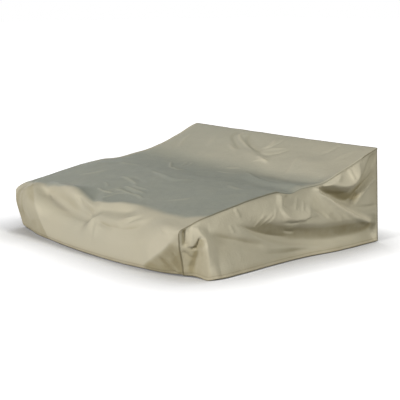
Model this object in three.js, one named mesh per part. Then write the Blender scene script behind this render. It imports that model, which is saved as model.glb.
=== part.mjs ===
// Fitted cover for an outdoor daybed, as it hangs over the daybed: four panels of coated polyester, sewn
// into one hollow shell that is open below. The top panel runs in one piece from the front hem, over the
// seat, to the top of the raised back. Two side panels and a back panel close it down to the hem.
//
// Millimetres, +Z up. X runs across the daybed and Y from its foot (the front) to its raised back.
// The panels are worked out with the front edge near y = 0 and the hem near z = 0, and the group then
// moves them so that its origin is under the top, at the middle of the seat.
import * as THREE from "three";

const THICKNESS = 2; // of the cloth
const SEAM_GAP = 0.3; // between two panels, which lap at a seam
const SEAM_HOLD = 45; // how far from a seam the folds of a panel under it are held down
const SEAT_Y = 885; // the middle of the daybed, under which the cover's origin lies
const BEARING_ALONG = 1285; // the same place, as a distance over the cloth from the front hem
const ACROSS_CELLS = 28; // grid of the top and back panels, across

// The top panel's grid rows, from the front hem: so many cells up to each distance along the panel. The
// first band ends at the front corners, where the side panels' front edges end.
const ROW_BANDS = [
  { upTo: 335, cells: 10 },
  { upTo: 600, cells: 8 },
  { upTo: 1300, cells: 11 },
  { upTo: 2205, cells: 17 },
];

// The top panel's shape. Each row is a line across the cloth: `along` is its distance from the front hem
// over the cloth, `seams` are the x of its left and right end, and the rest are [y, z] at five places
// spaced evenly between them.
const TOP_STATIONS = [
  { at: "front hem", along: 0, seams: [-1060, 935],
    left: [10, 0], midLeft: [-105, 0], middle: [-150, 0], midRight: [-110, 0], right: [15, 0] },
  { at: "front low", along: 120, seams: [-1078, 948],
    left: [-10, 118], midLeft: [-100, 118], middle: [-140, 118], midRight: [-108, 118], right: [-12, 118] },
  { at: "front high", along: 235, seams: [-1068, 965],
    left: [-36, 228], midLeft: [-75, 222], middle: [-100, 222], midRight: [-88, 222], right: [-50, 228] },
  { at: "front corner", along: 335, seams: [-1045, 985],
    left: [-30, 308], midLeft: [-26, 302], middle: [-38, 294], midRight: [-45, 303], right: [-74, 312] },
  { at: "front edge", along: 430, seams: [-1040, 1000],
    left: [52, 341], midLeft: [50, 359], middle: [38, 348], midRight: [34, 359], right: [16, 353] },
  { at: "seat lip", along: 500, seams: [-1040, 1012],
    left: [120, 353], midLeft: [120, 369], middle: [107, 358], midRight: [103, 371], right: [82, 379] },
  { at: "seat front", along: 680, seams: [-1040, 1026],
    left: [300, 387], midLeft: [304, 402], middle: [286, 400], midRight: [284, 410], right: [260, 416] },
  { at: "seat middle", along: 930, seams: [-1040, 1038],
    left: [548, 434], midLeft: [551, 446], middle: [532, 450], midRight: [531, 457], right: [506, 462] },
  { at: "seat top", along: 1150, seams: [-1040, 1040],
    left: [765, 468], midLeft: [769, 466], middle: [752, 468], midRight: [750, 474], right: [725, 485] },
  { at: "seam dip", along: 1290, seams: [-1040, 1040],
    left: [905, 478], midLeft: [908, 464], middle: [892, 462], midRight: [890, 468], right: [865, 464] },
  { at: "seat back", along: 1400, seams: [-1040, 1040],
    left: [1015, 483], midLeft: [1018, 464], middle: [1002, 460], midRight: [1000, 466], right: [973, 486] },
  { at: "hip", along: 1620, seams: [-1040, 1040],
    left: [1233, 512], midLeft: [1236, 488], middle: [1220, 480], midRight: [1218, 484], right: [1193, 502] },
  { at: "back low", along: 1790, seams: [-1040, 1040],
    left: [1396, 563], midLeft: [1394, 549], middle: [1380, 541], midRight: [1378, 540], right: [1350, 556] },
  { at: "back middle", along: 1980, seams: [-1040, 1040],
    left: [1572, 634], midLeft: [1570, 625], middle: [1558, 616], midRight: [1555, 611], right: [1528, 617] },
  { at: "back high", along: 2130, seams: [-1038, 1036],
    left: [1710, 678], midLeft: [1710, 675], middle: [1702, 669], midRight: [1699, 665], right: [1674, 667] },
  { at: "back edge", along: 2205, seams: [-1030, 1030],
    left: [1778, 693], midLeft: [1778, 690], middle: [1774, 686], midRight: [1772, 685], right: [1762, 690] },
];
const ACROSS = ["left", "midLeft", "middle", "midRight", "right"];
const ACROSS_AT = [-1, -0.5, 0, 0.5, 1];

// The hem of each side panel, from the front to the back: y, how far out x it lies, and its height z.
const RIGHT_HEM = [
  { y: 15, x: 940, z: 0 },
  { y: 60, x: 1072, z: 0 },
  { y: 95, x: 1118, z: 0 },
  { y: 160, x: 1148, z: 0 },
  { y: 310, x: 1140, z: 0 },
  { y: 600, x: 1105, z: 0 },
  { y: 940, x: 1075, z: 0 },
  { y: 1300, x: 1100, z: 0 },
  { y: 1760, x: 1065, z: 0 },
];
const LEFT_HEM = [
  { y: 10, x: 1060, z: 0 },
  { y: 120, x: 1110, z: 0 },
  { y: 420, x: 1085, z: 4 },
  { y: 900, x: 1110, z: 0 },
  { y: 1350, x: 1075, z: 5 },
  { y: 1760, x: 1060, z: 0 },
];

// Folds. A fold follows `path`, in the panel's own coordinates, and stands `rise` off the panel (a trough
// where negative). It reaches `reach` to the left and right of the path, is sharp-topped where `crest` is
// small, has hollow flanks where `flank` is large, and fades over the shares of its length in `fade`.
// On the top panel a path is [x, along], and `left` is towards the back for a path that runs to +x.
const TOP_FOLDS = [
  { of: "front trough, left", path: [[-900, 400], [-640, 350], [-360, 300], [-60, 268], [50, 268]],
    rise: -44, reach: [65, 150], crest: 0.3, flank: 1.5, fade: [0.6, 0.1] },
  { of: "front ridge, left", path: [[-930, 470], [-650, 458], [-374, 425], [-133, 358], [0, 310]],
    rise: 14, reach: [80, 70], crest: 0.4, fade: [0.3, 0.2] },
  { of: "hump on the front edge, left", path: [[-640, 500], [-400, 485], [-250, 440]],
    rise: 20, reach: [130, 90], crest: 0.6, fade: [0.5, 0.4] },
  { of: "dip over the front edge", path: [[40, 290], [-50, 380], [-170, 480], [-280, 580]],
    rise: -20, reach: [80, 80], crest: 0.5, fade: [0.1, 0.6] },
  { of: "hump on the front edge, right", path: [[40, 440], [200, 470], [350, 480], [520, 450]],
    rise: 14, reach: [110, 80], crest: 0.5, fade: [0.3, 0.4] },
  { of: "front trough under the right hump", path: [[30, 312], [220, 345], [440, 395]],
    rise: -24, reach: [60, 80], crest: 0.35, fade: [0.1, 0.7] },
  { of: "front trough, right", path: [[90, 250], [300, 215], [560, 240], [700, 300], [750, 380]],
    rise: -24, reach: [80, 90], crest: 0.35, fade: [0.2, 0.3] },
  { of: "left corner ridge", path: [[-960, 430], [-760, 300], [-640, 170], [-520, 80], [-440, -20]],
    rise: 26, reach: [170, 170], crest: 0.15, flank: 1.3, fade: [0.3, 0] },
  { of: "right corner ridge", path: [[965, 300], [800, 180], [700, 100], [590, -20]],
    rise: 44, reach: [80, 200], crest: 0.08, flank: 1.2, fade: [0.3, 0.2] },
  { of: "hollow by the right corner", path: [[935, 285], [880, 140], [830, -20]],
    rise: -34, reach: [80, 120], crest: 0.4, fade: [0.3, 0.45] },
  { of: "seat crease, right", path: [[100, 1635], [310, 1610], [564, 1577], [866, 1545], [1060, 1560]],
    rise: -18, reach: [90, 120], crest: 0.4, fade: [0.4, 0] },
  { of: "seat ridge, right", path: [[260, 1550], [557, 1451], [797, 1409], [1060, 1400]],
    rise: 10, reach: [80, 80], crest: 0.3, fade: [0.4, 0] },
  { of: "seat wrinkle", path: [[-240, 1085], [-20, 1028], [125, 1000], [220, 1060]],
    rise: 9, reach: [70, 60], crest: 0.25, fade: [0.5, 0.3] },
  { of: "hollow under the back edge",
    path: [[-400, 2130], [-80, 1950], [130, 1870], [256, 1915], [354, 2040]],
    rise: -18, reach: [110, 60], crest: 0.3, flank: 1.5, fade: [0.2, 0.3] },
  { of: "back ridge", path: [[-180, 1960], [90, 1850], [256, 1800], [400, 1765]],
    rise: 12, reach: [60, 90], crest: 0.3, fade: [0.4, 0.4] },
];

// On a side panel a path is [y, z], and `left` is up for a path that runs to the back.
const RIGHT_FOLDS = [
  { of: "corner ridge", path: [[38, 352], [64, 285], [70, 192], [92, 105], [88, -20]],
    rise: 26, reach: [60, 50], crest: 0.15, flank: 1.5, fade: [0.2, 0] },
  { of: "corner hollow", path: [[20, 290], [26, 219], [30, 134], [36, -20]],
    rise: -24, reach: [40, 50], crest: 0.35, fade: [0.3, 0.3] },
  { of: "belly", path: [[380, 340], [800, 300], [1100, 280], [1450, 240]],
    rise: 42, reach: [150, 140], crest: 0.6, fade: [0.3, 0.3] },
  { of: "long trough",
    path: [[330, 300], [460, 225], [600, 165], [760, 135], [944, 139], [1143, 124], [1403, 112], [1760, 112]],
    rise: -76, reach: [150, 110], crest: 0.2, flank: 1.3, fade: [0.25, 0.3] },
  { of: "low trough",
    path: [[100, 275], [229, 225], [359, 190], [543, 135], [788, 62], [1000, 25], [1200, 20]],
    rise: -14, reach: [70, 80], crest: 0.4, fade: [0.1, 0.4] },
  { of: "loop of loose cloth",
    path: [[735, 400], [790, 350], [870, 300], [955, 265], [1020, 285], [1045, 345], [1035, 400]],
    rise: 24, reach: [75, 60], crest: 0.3, flank: 1.6, fade: [0.15, 0.3] },
  { of: "sharp ridge", path: [[1100, 485], [1246, 398], [1391, 308], [1551, 225], [1740, 140]],
    rise: 44, reach: [75, 150], crest: 0.2, flank: 1.6, fade: [0.1, 0.3] },
  { of: "shelf under the seam",
    path: [[1120, 490], [1204, 487], [1331, 452], [1440, 448], [1512, 499], [1566, 550], [1626, 615]],
    rise: 38, reach: [110, 85], crest: 0.25, flank: 1.5, fade: [0.2, 0.25] },
  { of: "pocket under the shelf",
    path: [[1150, 470], [1250, 424], [1380, 352], [1460, 325], [1530, 350], [1600, 440]],
    rise: -36, reach: [85, 65], crest: 0.25, flank: 1.5, fade: [0.2, 0.3] },
  { of: "trough up to the back corner", path: [[1570, 420], [1650, 560], [1745, 690]],
    rise: -20, reach: [45, 60], crest: 0.3, fade: [0.3, 0.3] },
  { of: "trough at the back corner", path: [[1480, 290], [1610, 262], [1760, 285]],
    rise: -16, reach: [45, 45], crest: 0.3, fade: [0.3, 0.3] },
];
const LEFT_FOLDS = [
  { of: "corner ridge", path: [[40, 350], [95, 240], [120, 110], [130, -20]],
    rise: 18, reach: [80, 70], crest: 0.3, fade: [0.2, 0] },
  { of: "long ridge", path: [[260, 300], [480, 190], [800, 120], [1150, 110], [1500, 170], [1720, 260]],
    rise: 24, reach: [80, 130], crest: 0.35, fade: [0.2, 0.2] },
  { of: "trough under the seam", path: [[420, 330], [760, 290], [1100, 330], [1400, 440], [1650, 600]],
    rise: -22, reach: [110, 90], crest: 0.5, fade: [0.2, 0.2] },
];
const BACK_FOLDS = [
  { of: "hanging fold, left", path: [[-560, 640], [-520, 400], [-470, 180], [-450, -20]],
    rise: 20, reach: [110, 140], crest: 0.4, fade: [0.4, 0] },
  { of: "hanging fold, right", path: [[420, 650], [390, 420], [330, 200], [300, -20]],
    rise: 18, reach: [120, 120], crest: 0.4, fade: [0.4, 0] },
  { of: "sag", path: [[-800, 330], [-250, 260], [300, 270], [820, 350]],
    rise: -16, reach: [130, 110], crest: 0.5, fade: [0.2, 0.2] },
];

const mix = (a, b, t) => a + (b - a) * t;

// The value at t of a smooth curve through the values at the knots.
function smooth(knots, values, t) {
  const last = knots.length - 1;
  const slope = (k) => {
    const [a, b] = [Math.max(k - 1, 0), Math.min(k + 1, last)];
    return (values[b] - values[a]) / (knots[b] - knots[a]);
  };
  let i = 0;
  while (i < last - 1 && t > knots[i + 1]) i += 1;
  const span = knots[i + 1] - knots[i];
  const f = (t - knots[i]) / span;
  const [f2, f3] = [f * f, f * f * f];
  return (
    (2 * f3 - 3 * f2 + 1) * values[i] +
    (f3 - 2 * f2 + f) * span * slope(i) +
    (3 * f2 - 2 * f3) * values[i + 1] +
    (f3 - f2) * span * slope(i + 1)
  );
}

const PATH_STEPS = 24;

// Points along a smooth line through a fold's path.
function pathPoints(path) {
  const knots = [0];
  for (let i = 1; i < path.length; i += 1) {
    knots.push(knots[i - 1] + Math.hypot(path[i][0] - path[i - 1][0], path[i][1] - path[i - 1][1]));
  }
  const length = knots.at(-1);
  return Array.from({ length: PATH_STEPS + 1 }, (_, k) => {
    const t = (length * k) / PATH_STEPS;
    return [0, 1].map((axis) => smooth(knots, path.map((point) => point[axis]), t));
  });
}

const ease = (t) => (t <= 0 ? 0 : t >= 1 ? 1 : t * t * (3 - 2 * t));

// How far one fold stands off the panel at (p, q).
function foldRise(fold, p, q) {
  fold.points ??= pathPoints(fold.path);
  let nearest = { distance: Infinity };
  for (let k = 0; k < PATH_STEPS; k += 1) {
    const [a, b] = [fold.points[k], fold.points[k + 1]];
    const [dp, dq] = [b[0] - a[0], b[1] - a[1]];
    const f = THREE.MathUtils.clamp(((p - a[0]) * dp + (q - a[1]) * dq) / (dp * dp + dq * dq), 0, 1);
    const distance = Math.hypot(p - a[0] - f * dp, q - a[1] - f * dq);
    if (distance < nearest.distance) {
      const onLeft = dp * (q - a[1]) - dq * (p - a[0]) > 0;
      nearest = { distance, onLeft, share: (k + f) / PATH_STEPS };
    }
  }
  const { distance, onLeft, share } = nearest;
  const reach = fold.reach[onLeft ? 0 : 1];
  const crest = fold.crest ?? 0.5;
  const e = (Math.hypot(distance / reach, crest) - crest) / (Math.hypot(1, crest) - crest);
  if (e >= 1) return 0;
  const [start, end] = fold.fade;
  const swell = (start ? ease(share / start) : 1) * (end ? ease((1 - share) / end) : 1);
  return fold.rise * swell * (1 - e) ** (fold.flank ?? 2);
}

const foldsRise = (folds, p, q) => folds.reduce((sum, fold) => sum + foldRise(fold, p, q), 0);

// A grid of points, made by a function of the two indices.
const grid = (columns, rows, point) =>
  Array.from({ length: columns + 1 }, (_, i) => Array.from({ length: rows + 1 }, (_, j) => point(i, j)));

// The outward normals of a grid of points, whose rows and columns turn anticlockwise seen from outside.
function normalsOf(points) {
  const [columns, rows] = [points.length - 1, points[0].length - 1];
  return grid(columns, rows, (i, j) => {
    const acrossStep = points[Math.min(i + 1, columns)][j].clone().sub(points[Math.max(i - 1, 0)][j]);
    const upStep = points[i][Math.min(j + 1, rows)].clone().sub(points[i][Math.max(j - 1, 0)]);
    return acrossStep.cross(upStep).normalize();
  });
}

// Moves each point of a panel off it by the folds there. coordinates(point, i, j) are the folds' own two,
// and hold(i, j) lists the nearest points of the seams that hold the panel still.
function withFolds(points, folds, coordinates, hold = () => []) {
  const normals = normalsOf(points);
  return points.map((column, i) =>
    column.map((point, j) => {
      const free = hold(i, j).reduce((share, held) => share * ease(point.distanceTo(held) / SEAM_HOLD), 1);
      const rise = free * foldsRise(folds, ...coordinates(point, i, j));
      return point.clone().addScaledVector(normals[i][j], rise);
    }),
  );
}

// Closes an outer and an inner grid of points into one solid sheet. Each cell is cut along the diagonal
// whose ends face most nearly the same way, so that the cuts run with the folds.
function sheetGeometry(outer, inner, normals) {
  const [columns, rows] = [outer.length - 1, outer[0].length - 1];
  const positions = [...outer.flat(), ...inner.flat()].flatMap((point) => point.toArray());
  const at = (i, j) => i * (rows + 1) + j;
  const under = (columns + 1) * (rows + 1);
  const triangles = [];
  const quad = (a, b, c, d) => triangles.push(a, b, c, a, c, d);
  for (let i = 0; i < columns; i += 1) {
    for (let j = 0; j < rows; j += 1) {
      const corners = [at(i, j), at(i + 1, j), at(i + 1, j + 1), at(i, j + 1)];
      const rising = normals[i][j].dot(normals[i + 1][j + 1]);
      const falling = normals[i + 1][j].dot(normals[i][j + 1]);
      if (falling > rising) corners.push(corners.shift());
      const [a, b, c, d] = corners;
      quad(a, b, c, d);
      quad(under + a, under + d, under + c, under + b);
    }
  }
  for (let i = 0; i < columns; i += 1) {
    quad(under + at(i, 0), under + at(i + 1, 0), at(i + 1, 0), at(i, 0));
    quad(at(i, rows), at(i + 1, rows), under + at(i + 1, rows), under + at(i, rows));
  }
  for (let j = 0; j < rows; j += 1) {
    quad(at(0, j), at(0, j + 1), under + at(0, j + 1), under + at(0, j));
    quad(under + at(columns, j), under + at(columns, j + 1), at(columns, j + 1), at(columns, j));
  }
  const geometry = new THREE.BufferGeometry();
  geometry.setAttribute("position", new THREE.Float32BufferAttribute(positions, 3));
  geometry.setIndex(triangles);
  geometry.computeVertexNormals();
  return geometry;
}

// How far along the top panel each row of its grid lies.
const ROWS_ALONG = ROW_BANDS.reduce((rows, { upTo, cells }) => {
  const from = rows.at(-1);
  return [...rows, ...Array.from({ length: cells }, (_, k) => mix(from, upTo, (k + 1) / cells))];
}, [0]);
const FRONT_CELLS = ROW_BANDS[0].cells;
const TOP_CELLS = ROWS_ALONG.length - 1 - FRONT_CELLS;

// The top panel without its folds, at u across (-1 to 1) and a distance along from the front hem.
function topPoint(u, along) {
  const knots = TOP_STATIONS.map((station) => station.along);
  const at = (pick) => smooth(knots, TOP_STATIONS.map(pick), along);
  const [left, right] = [0, 1].map((side) => at((station) => station.seams[side]));
  const [y, z] = [0, 1].map((axis) =>
    smooth(ACROSS_AT, ACROSS.map((place) => at((station) => station[place][axis])), u));
  return new THREE.Vector3(mix(left, right, (u + 1) / 2), y, z);
}

function topGrid() {
  const base = grid(ACROSS_CELLS, FRONT_CELLS + TOP_CELLS, (i, j) =>
    topPoint((2 * i) / ACROSS_CELLS - 1, ROWS_ALONG[j]));
  return withFolds(base, TOP_FOLDS, (point, i, j) => [point.x, ROWS_ALONG[j]]);
}

// A patch between four edges, which meet at its corners. Each edge is a list of points: bottom and top
// run the same way, and so do start and end.
function patch(bottom, top, start, end) {
  const [columns, rows] = [bottom.length - 1, start.length - 1];
  return grid(columns, rows, (i, j) => {
    const [a, b] = [i / columns, j / rows];
    const sum = new THREE.Vector3();
    sum.addScaledVector(bottom[i], 1 - b).addScaledVector(top[i], b);
    sum.addScaledVector(start[j], 1 - a).addScaledVector(end[j], a);
    sum.addScaledVector(bottom[0], -(1 - a) * (1 - b)).addScaledVector(bottom[columns], -a * (1 - b));
    sum.addScaledVector(top[0], -(1 - a) * b).addScaledVector(top[columns], -a * b);
    return sum;
  });
}

// A side's hem under each point of its top edge. side is 1 on the right and -1 on the left.
function hemLine(hem, topEdge, side) {
  const [first, last] = [topEdge[0].y, topEdge.at(-1).y];
  const ys = hem.map((row) => row.y);
  return topEdge.map((point) => {
    const y = mix(ys[0], ys.at(-1), (point.y - first) / (last - first));
    const at = (pick) => smooth(ys, hem.map(pick), y);
    return new THREE.Vector3(side * at((row) => row.x), y, at((row) => row.z));
  });
}

// The back corner of a side, from the hem up.
const backCorner = (hemEnd, topEnd) =>
  Array.from({ length: FRONT_CELLS + 1 }, (_, j) => hemEnd.clone().lerp(topEnd, j / FRONT_CELLS));

const top = topGrid();
const topNormals = normalsOf(top);

// A side panel's outer surface, with its columns from the front to the back.
function sideGrid(seam, hem, side, folds) {
  const frontEdge = seam.slice(0, FRONT_CELLS + 1);
  const topEdge = seam.slice(FRONT_CELLS);
  const bottom = hemLine(hem, topEdge, side);
  bottom[0] = frontEdge[0].clone();
  const base = patch(bottom, topEdge, frontEdge, backCorner(bottom.at(-1), topEdge.at(-1)));
  const turned = side > 0 ? base : base.reverse();
  const front = side > 0 ? 0 : TOP_CELLS;
  const hold = (i, j) => [turned[i][FRONT_CELLS], turned[front][j], turned[TOP_CELLS - front][j]];
  return withFolds(turned, folds, (point) => [point.y, point.z], hold);
}

const rightSide = sideGrid(top.at(-1), RIGHT_HEM, 1, RIGHT_FOLDS);
const leftSide = sideGrid(top[0], LEFT_HEM, -1, LEFT_FOLDS);

// The back panel's outer surface, with its columns from the right to the left.
function backGrid() {
  const topEdge = top.map((column) => column.at(-1)).reverse();
  const [start, end] = [rightSide.at(-1), leftSide[0]];
  const bottom = topEdge.map((_, i) => start[0].clone().lerp(end[0], i / ACROSS_CELLS));
  const base = patch(bottom, topEdge, start, end);
  const hold = (i, j) => [base[i][FRONT_CELLS], base[0][j], base[ACROSS_CELLS][j]];
  return withFolds(base, BACK_FOLDS, (point) => [point.x, point.z], hold);
}

const back = backGrid();
const backNormals = normalsOf(back);
const LAP = THICKNESS + SEAM_GAP;

// The step from a seam down to the lap of a panel that lies under the panels with these normals.
function lapStep(over) {
  const step = over.reduce((sum, normal) => sum.add(normal), new THREE.Vector3());
  return over.length ? step.multiplyScalar((-LAP * over.length) / step.lengthSq()) : step;
}

// The step through the cloth, which at a seam never runs up into the panels over it.
function throughStep(normal, over) {
  const step = normal.clone();
  if (over.length === 1) step.addScaledVector(over[0], -Math.min(0, normal.dot(over[0])));
  if (over.length === 2) step.crossVectors(...over);
  return step.multiplyScalar(-THICKNESS / step.dot(normal));
}

// The solid of a panel, where coversAt(i, j) gives the normals of the panels that lie over its seams.
function panelGeometry(points, coversAt = () => []) {
  const normals = normalsOf(points);
  const [columns, rows] = [points.length - 1, points[0].length - 1];
  const outer = grid(columns, rows, (i, j) => points[i][j].clone().add(lapStep(coversAt(i, j))));
  const inner = grid(columns, rows, (i, j) =>
    outer[i][j].clone().add(throughStep(normals[i][j], coversAt(i, j))));
  return sheetGeometry(outer, inner, normals);
}

// The top panel lies over the front and top edges of a side panel, and the back panel over its back edge.
function sideCovers(seamNormals, cornerNormals, side) {
  return (i, j) => {
    const fromFront = side > 0 ? i : TOP_CELLS - i;
    const over = [];
    if (j === FRONT_CELLS) over.push(seamNormals[FRONT_CELLS + fromFront]);
    else if (fromFront === 0) over.push(seamNormals[j]);
    if (fromFront === TOP_CELLS) over.push(cornerNormals[j]);
    return over;
  };
}

const backCovers = (i, j) => (j === FRONT_CELLS ? [topNormals[ACROSS_CELLS - i].at(-1)] : []);

const colour = { front: 0xbdb49b, side: 0xaca48a };
const cloth = (color) =>
  new THREE.MeshStandardMaterial({ color, roughness: 0.55, metalness: 0, side: THREE.DoubleSide });

function panel(name, geometry, color) {
  const mesh = new THREE.Mesh(geometry, cloth(color));
  mesh.name = name;
  return mesh;
}

const rightCovers = sideCovers(topNormals.at(-1), backNormals[0], 1);
const leftCovers = sideCovers(topNormals[0], backNormals.at(-1), -1);
const cover = new THREE.Group();
cover.add(
  panel("top_panel", panelGeometry(top), colour.front),
  panel("right_panel", panelGeometry(rightSide, rightCovers), colour.side),
  panel("left_panel", panelGeometry(leftSide, leftCovers), colour.side),
  panel("back_panel", panelGeometry(back, backCovers), colour.side),
);
const bearing = topPoint(0, BEARING_ALONG);
cover.position.set(0, -SEAT_Y, -(bearing.z - THICKNESS));

export default cover;
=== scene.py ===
"""An outdoor daybed cover of coated polyester: four draped panels with hems and seams.

The panels are worked out in the cover's own millimetres (x across, y from the front edge to the back,
z up from the hem), and each one is then moved to the frame of the CAD model, in metres.
"""

import math

import bpy
import numpy as np
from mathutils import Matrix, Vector


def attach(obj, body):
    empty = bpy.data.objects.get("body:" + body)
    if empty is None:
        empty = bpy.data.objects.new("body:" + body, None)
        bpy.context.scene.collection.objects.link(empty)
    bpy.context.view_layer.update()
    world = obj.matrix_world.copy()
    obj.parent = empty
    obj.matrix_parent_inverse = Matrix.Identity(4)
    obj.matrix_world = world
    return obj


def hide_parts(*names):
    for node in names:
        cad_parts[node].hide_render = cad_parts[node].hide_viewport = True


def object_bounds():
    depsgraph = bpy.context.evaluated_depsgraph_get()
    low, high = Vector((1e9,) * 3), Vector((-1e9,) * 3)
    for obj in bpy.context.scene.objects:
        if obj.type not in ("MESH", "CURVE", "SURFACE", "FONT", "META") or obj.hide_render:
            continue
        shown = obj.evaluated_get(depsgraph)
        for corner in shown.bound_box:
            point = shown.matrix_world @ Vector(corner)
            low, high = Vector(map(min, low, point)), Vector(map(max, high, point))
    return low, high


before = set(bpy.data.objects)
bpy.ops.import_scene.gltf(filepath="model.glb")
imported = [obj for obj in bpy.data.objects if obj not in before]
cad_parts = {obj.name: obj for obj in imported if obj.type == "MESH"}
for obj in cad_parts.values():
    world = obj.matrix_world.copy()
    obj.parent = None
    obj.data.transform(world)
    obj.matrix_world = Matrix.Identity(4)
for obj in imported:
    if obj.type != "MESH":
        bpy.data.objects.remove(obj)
cad_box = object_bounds()
scene = bpy.context.scene

# Sizes of the cloth, in millimetres.
THICKNESS = 2.0
HEM = 24  # height of the turned hem
HEM_BLEND = 160  # length of hem over which a side panel comes level with the front hem
LAP_GAP = 0.6  # between a lap and the cloth under it
LAP_WIDTH = 11  # of the flange where the top panel laps over a side
LAP_STAND = 3.0  # how far the flange's free edge stands off
LAP_STAND_SHARES = (0.55, 0.45)  # of that at the seam, and what is added towards the free edge
LAP_HOLD = 12  # a panel has no folds where another laps over it
SEAM_HOLD = 28  # and they grow to their full height over this distance
SEAT_Y = 885  # the middle of the daybed, where the frame has its origin
BEARING_ALONG = 1285  # the same place, as a distance along the top panel from the front hem

# The grids. Columns are counted along a panel's hem, and rows up from the hem.
ACROSS_CELLS = 164  # of the top and back panels, from side to side
FLANGE_SHARES = (0.12, 0.35, 0.65, 1.0)  # where the flange's columns lie across it
FLANGE_SMOOTHING = 8  # passes that round the flange off at the front corner
PATH_STEPS = 24  # straight pieces in the path of a fold

# Random unevenness of each panel: the seed, size and height of its coarse waves and its fine ones.
UNEVEN = {
    "top": [(5, 330, 1.2), (6, 130, 0.5)],
    "right": [(11, 260, 1.6), (12, 110, 0.6)],
    "left": [(21, 260, 1.6), (22, 110, 0.6)],
    "back": [(31, 300, 2.0), (32, 120, 0.6)],
}
WAVES = 14
WAVE_LENGTHS = (0.6, 1.7)  # the shortest and the longest, as shares of the size
WAVE_BEND = 0.6
BEND_LENGTH = 2.7  # as a share of the wave's own

# Grid rows of the top panel, from the front hem: so many cells up to each distance along it.
ROW_BANDS = [
    {"up_to": 335, "cells": 80},
    {"up_to": 600, "cells": 45},
    {"up_to": 1300, "cells": 70},
    {"up_to": 2205, "cells": 90},
]

# The top panel's shape, as lines across the cloth. Each has its distance from the front hem over the
# cloth, the x of its two ends, and [y, z] at five places spaced evenly across it.
TOP_STATIONS = [
    (0, [-1088, 935], [[18, 0], [-70, 0], [-114, 0], [-106, 0], [-18, 0]]),
    (120, [-1100, 948], [[-8, 118], [-80, 118], [-118, 118], [-104, 118], [-32, 118]]),
    (235, [-1096, 965], [[-36, 228], [-75, 222], [-100, 222], [-88, 222], [-50, 228]]),
    (335, [-1078, 985], [[-30, 308], [-26, 302], [-38, 294], [-45, 303], [-74, 312]]),
    (430, [-1056, 1000], [[52, 352], [50, 359], [38, 348], [34, 359], [16, 353]]),
    (500, [-1040, 1012], [[120, 368], [120, 369], [107, 358], [103, 371], [82, 379]]),
    (680, [-1040, 1026], [[300, 401], [304, 402], [286, 400], [284, 410], [260, 416]]),
    (930, [-1040, 1038], [[548, 445], [551, 446], [532, 450], [531, 457], [506, 462]]),
    (1150, [-1040, 1040], [[765, 471], [769, 466], [752, 468], [750, 474], [725, 485]]),
    (1290, [-1040, 1040], [[905, 469], [908, 464], [892, 462], [890, 468], [865, 464]]),
    (1400, [-1040, 1040], [[1015, 480], [1018, 464], [1002, 460], [1000, 466], [973, 486]]),
    (1620, [-1040, 1040], [[1233, 510], [1236, 488], [1220, 480], [1218, 484], [1193, 502]]),
    (1790, [-1040, 1040], [[1396, 550], [1394, 549], [1380, 541], [1378, 540], [1350, 556]]),
    (1980, [-1040, 1040], [[1572, 610], [1570, 625], [1558, 616], [1555, 611], [1528, 617]]),
    (2130, [-1038, 1036], [[1710, 669], [1710, 675], [1702, 669], [1699, 665], [1674, 667]]),
    (2205, [-1030, 1030], [[1778, 693], [1778, 690], [1774, 686], [1772, 685], [1762, 690]]),
]
ACROSS_AT = [-1, -0.5, 0, 0.5, 1]

# Painted shade in folds, standing in for the shade that falls there. It is darkest in folds of this depth and
# more, on cloth that faces down.
DEEP_FOLD = 20
UPRIGHT_SHADE = 0.35  # the share of it on upright cloth
SHADE_BY_TILT = 1.8  # how fast that share grows as the cloth turns down
MOST_PAINTED_HIGHLIGHT = 0.5  # the most painted highlight, on the crests of ridges

# Painted shade on the top, from 0 to 1: a darker, greyer tint where the cloth faces up, standing in for the
# weaker light on it. A pair is a ramp: where it begins and how wide it is, with a width below 0 where it
# rises towards lower values. Most are of the distance along from the front hem.
SMOOTH_SHARE = 0.75  # how much the cloth without its folds counts in how level it is
FOLDED_SHARE = 0.25  # and the cloth with them
LEVEL_ENOUGH = (0.87, 0.07)  # a ramp of the outward normal's z
BACK_BEGINS = (1400, 450)
BACK_TOP_SHADE = 0.30  # in the middle of the raised back
BACK_TOP_SHADE_LESS = 0.20  # how much less at its right end
SEAT_HALF_WIDTH = 1040
# edges of the top with less painted shade, so that they are painted lighter
LIGHTER_EDGES = [
    {"x": (-985, -50), "along": [(950, 300)], "less": 0.75},
    {"x": (965, 60), "along": [(1260, 120), (1800, -200)], "less": 0.5},
]
CREST_RISE = 8  # of a crease whose crest loses the most painted shade, a painted highlight
CREST_LIGHTENED = 0.45

# Where the cloth rolls loosely over the side seams, this is added to the distance from the seam, so that
# the seam's shadow fades. The ramps are of the distance along, and the last is for the far front corner.
SLACK_FADE = 16
SLACK_BEGINS = (1150, 70)
SLACK_ENDS = (2080, -90)
FAR_CORNER_SLACK = (420, -100)

# Where the painted shade of the seat begins, as x and the distance along from the front hem, and the width
# over which it does.
SEAT_EDGE = {"x": [-1060, -845, -563, -415, -256, -147, -40, 117, 262, 474, 679, 880, 960, 1040],
             "along": [432, 476, 441, 470, 453, 417, 429, 453, 476, 488, 462, 476, 520, 560]}
SEAT_EDGE_WIDTH = 75

# The hem of each side panel, from the front to the back: y, how far out x it lies, and its height z.
RIGHT_HEM = {"y": [-18, 60, 95, 160, 310, 600, 940, 1300, 1760],
             "x": [940, 1072, 1118, 1148, 1140, 1105, 1075, 1100, 1065],
             "z": [0] * 9}
LEFT_HEM = {"y": [18, 120, 420, 900, 1350, 1760],
            "x": [1088, 1108, 1085, 1110, 1075, 1060],
            "z": [0, 0, 4, 0, 5, 0]}


def fold(path, rise, reach, crest, fade, flank=2.0):
    """A fold follows path, in the panel's own coordinates, and stands rise off the panel (a trough where
    negative). It reaches reach to the left and right of the path, is sharp-topped where crest is small,
    has hollow flanks where flank is large (one number, or one for each side), and fades over the shares
    of its length in fade."""
    return {"path": path, "rise": rise, "reach": reach, "crest": crest, "fade": fade, "flank": flank}


def folds(*rows):
    return [fold(*row) for row in rows]


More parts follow.
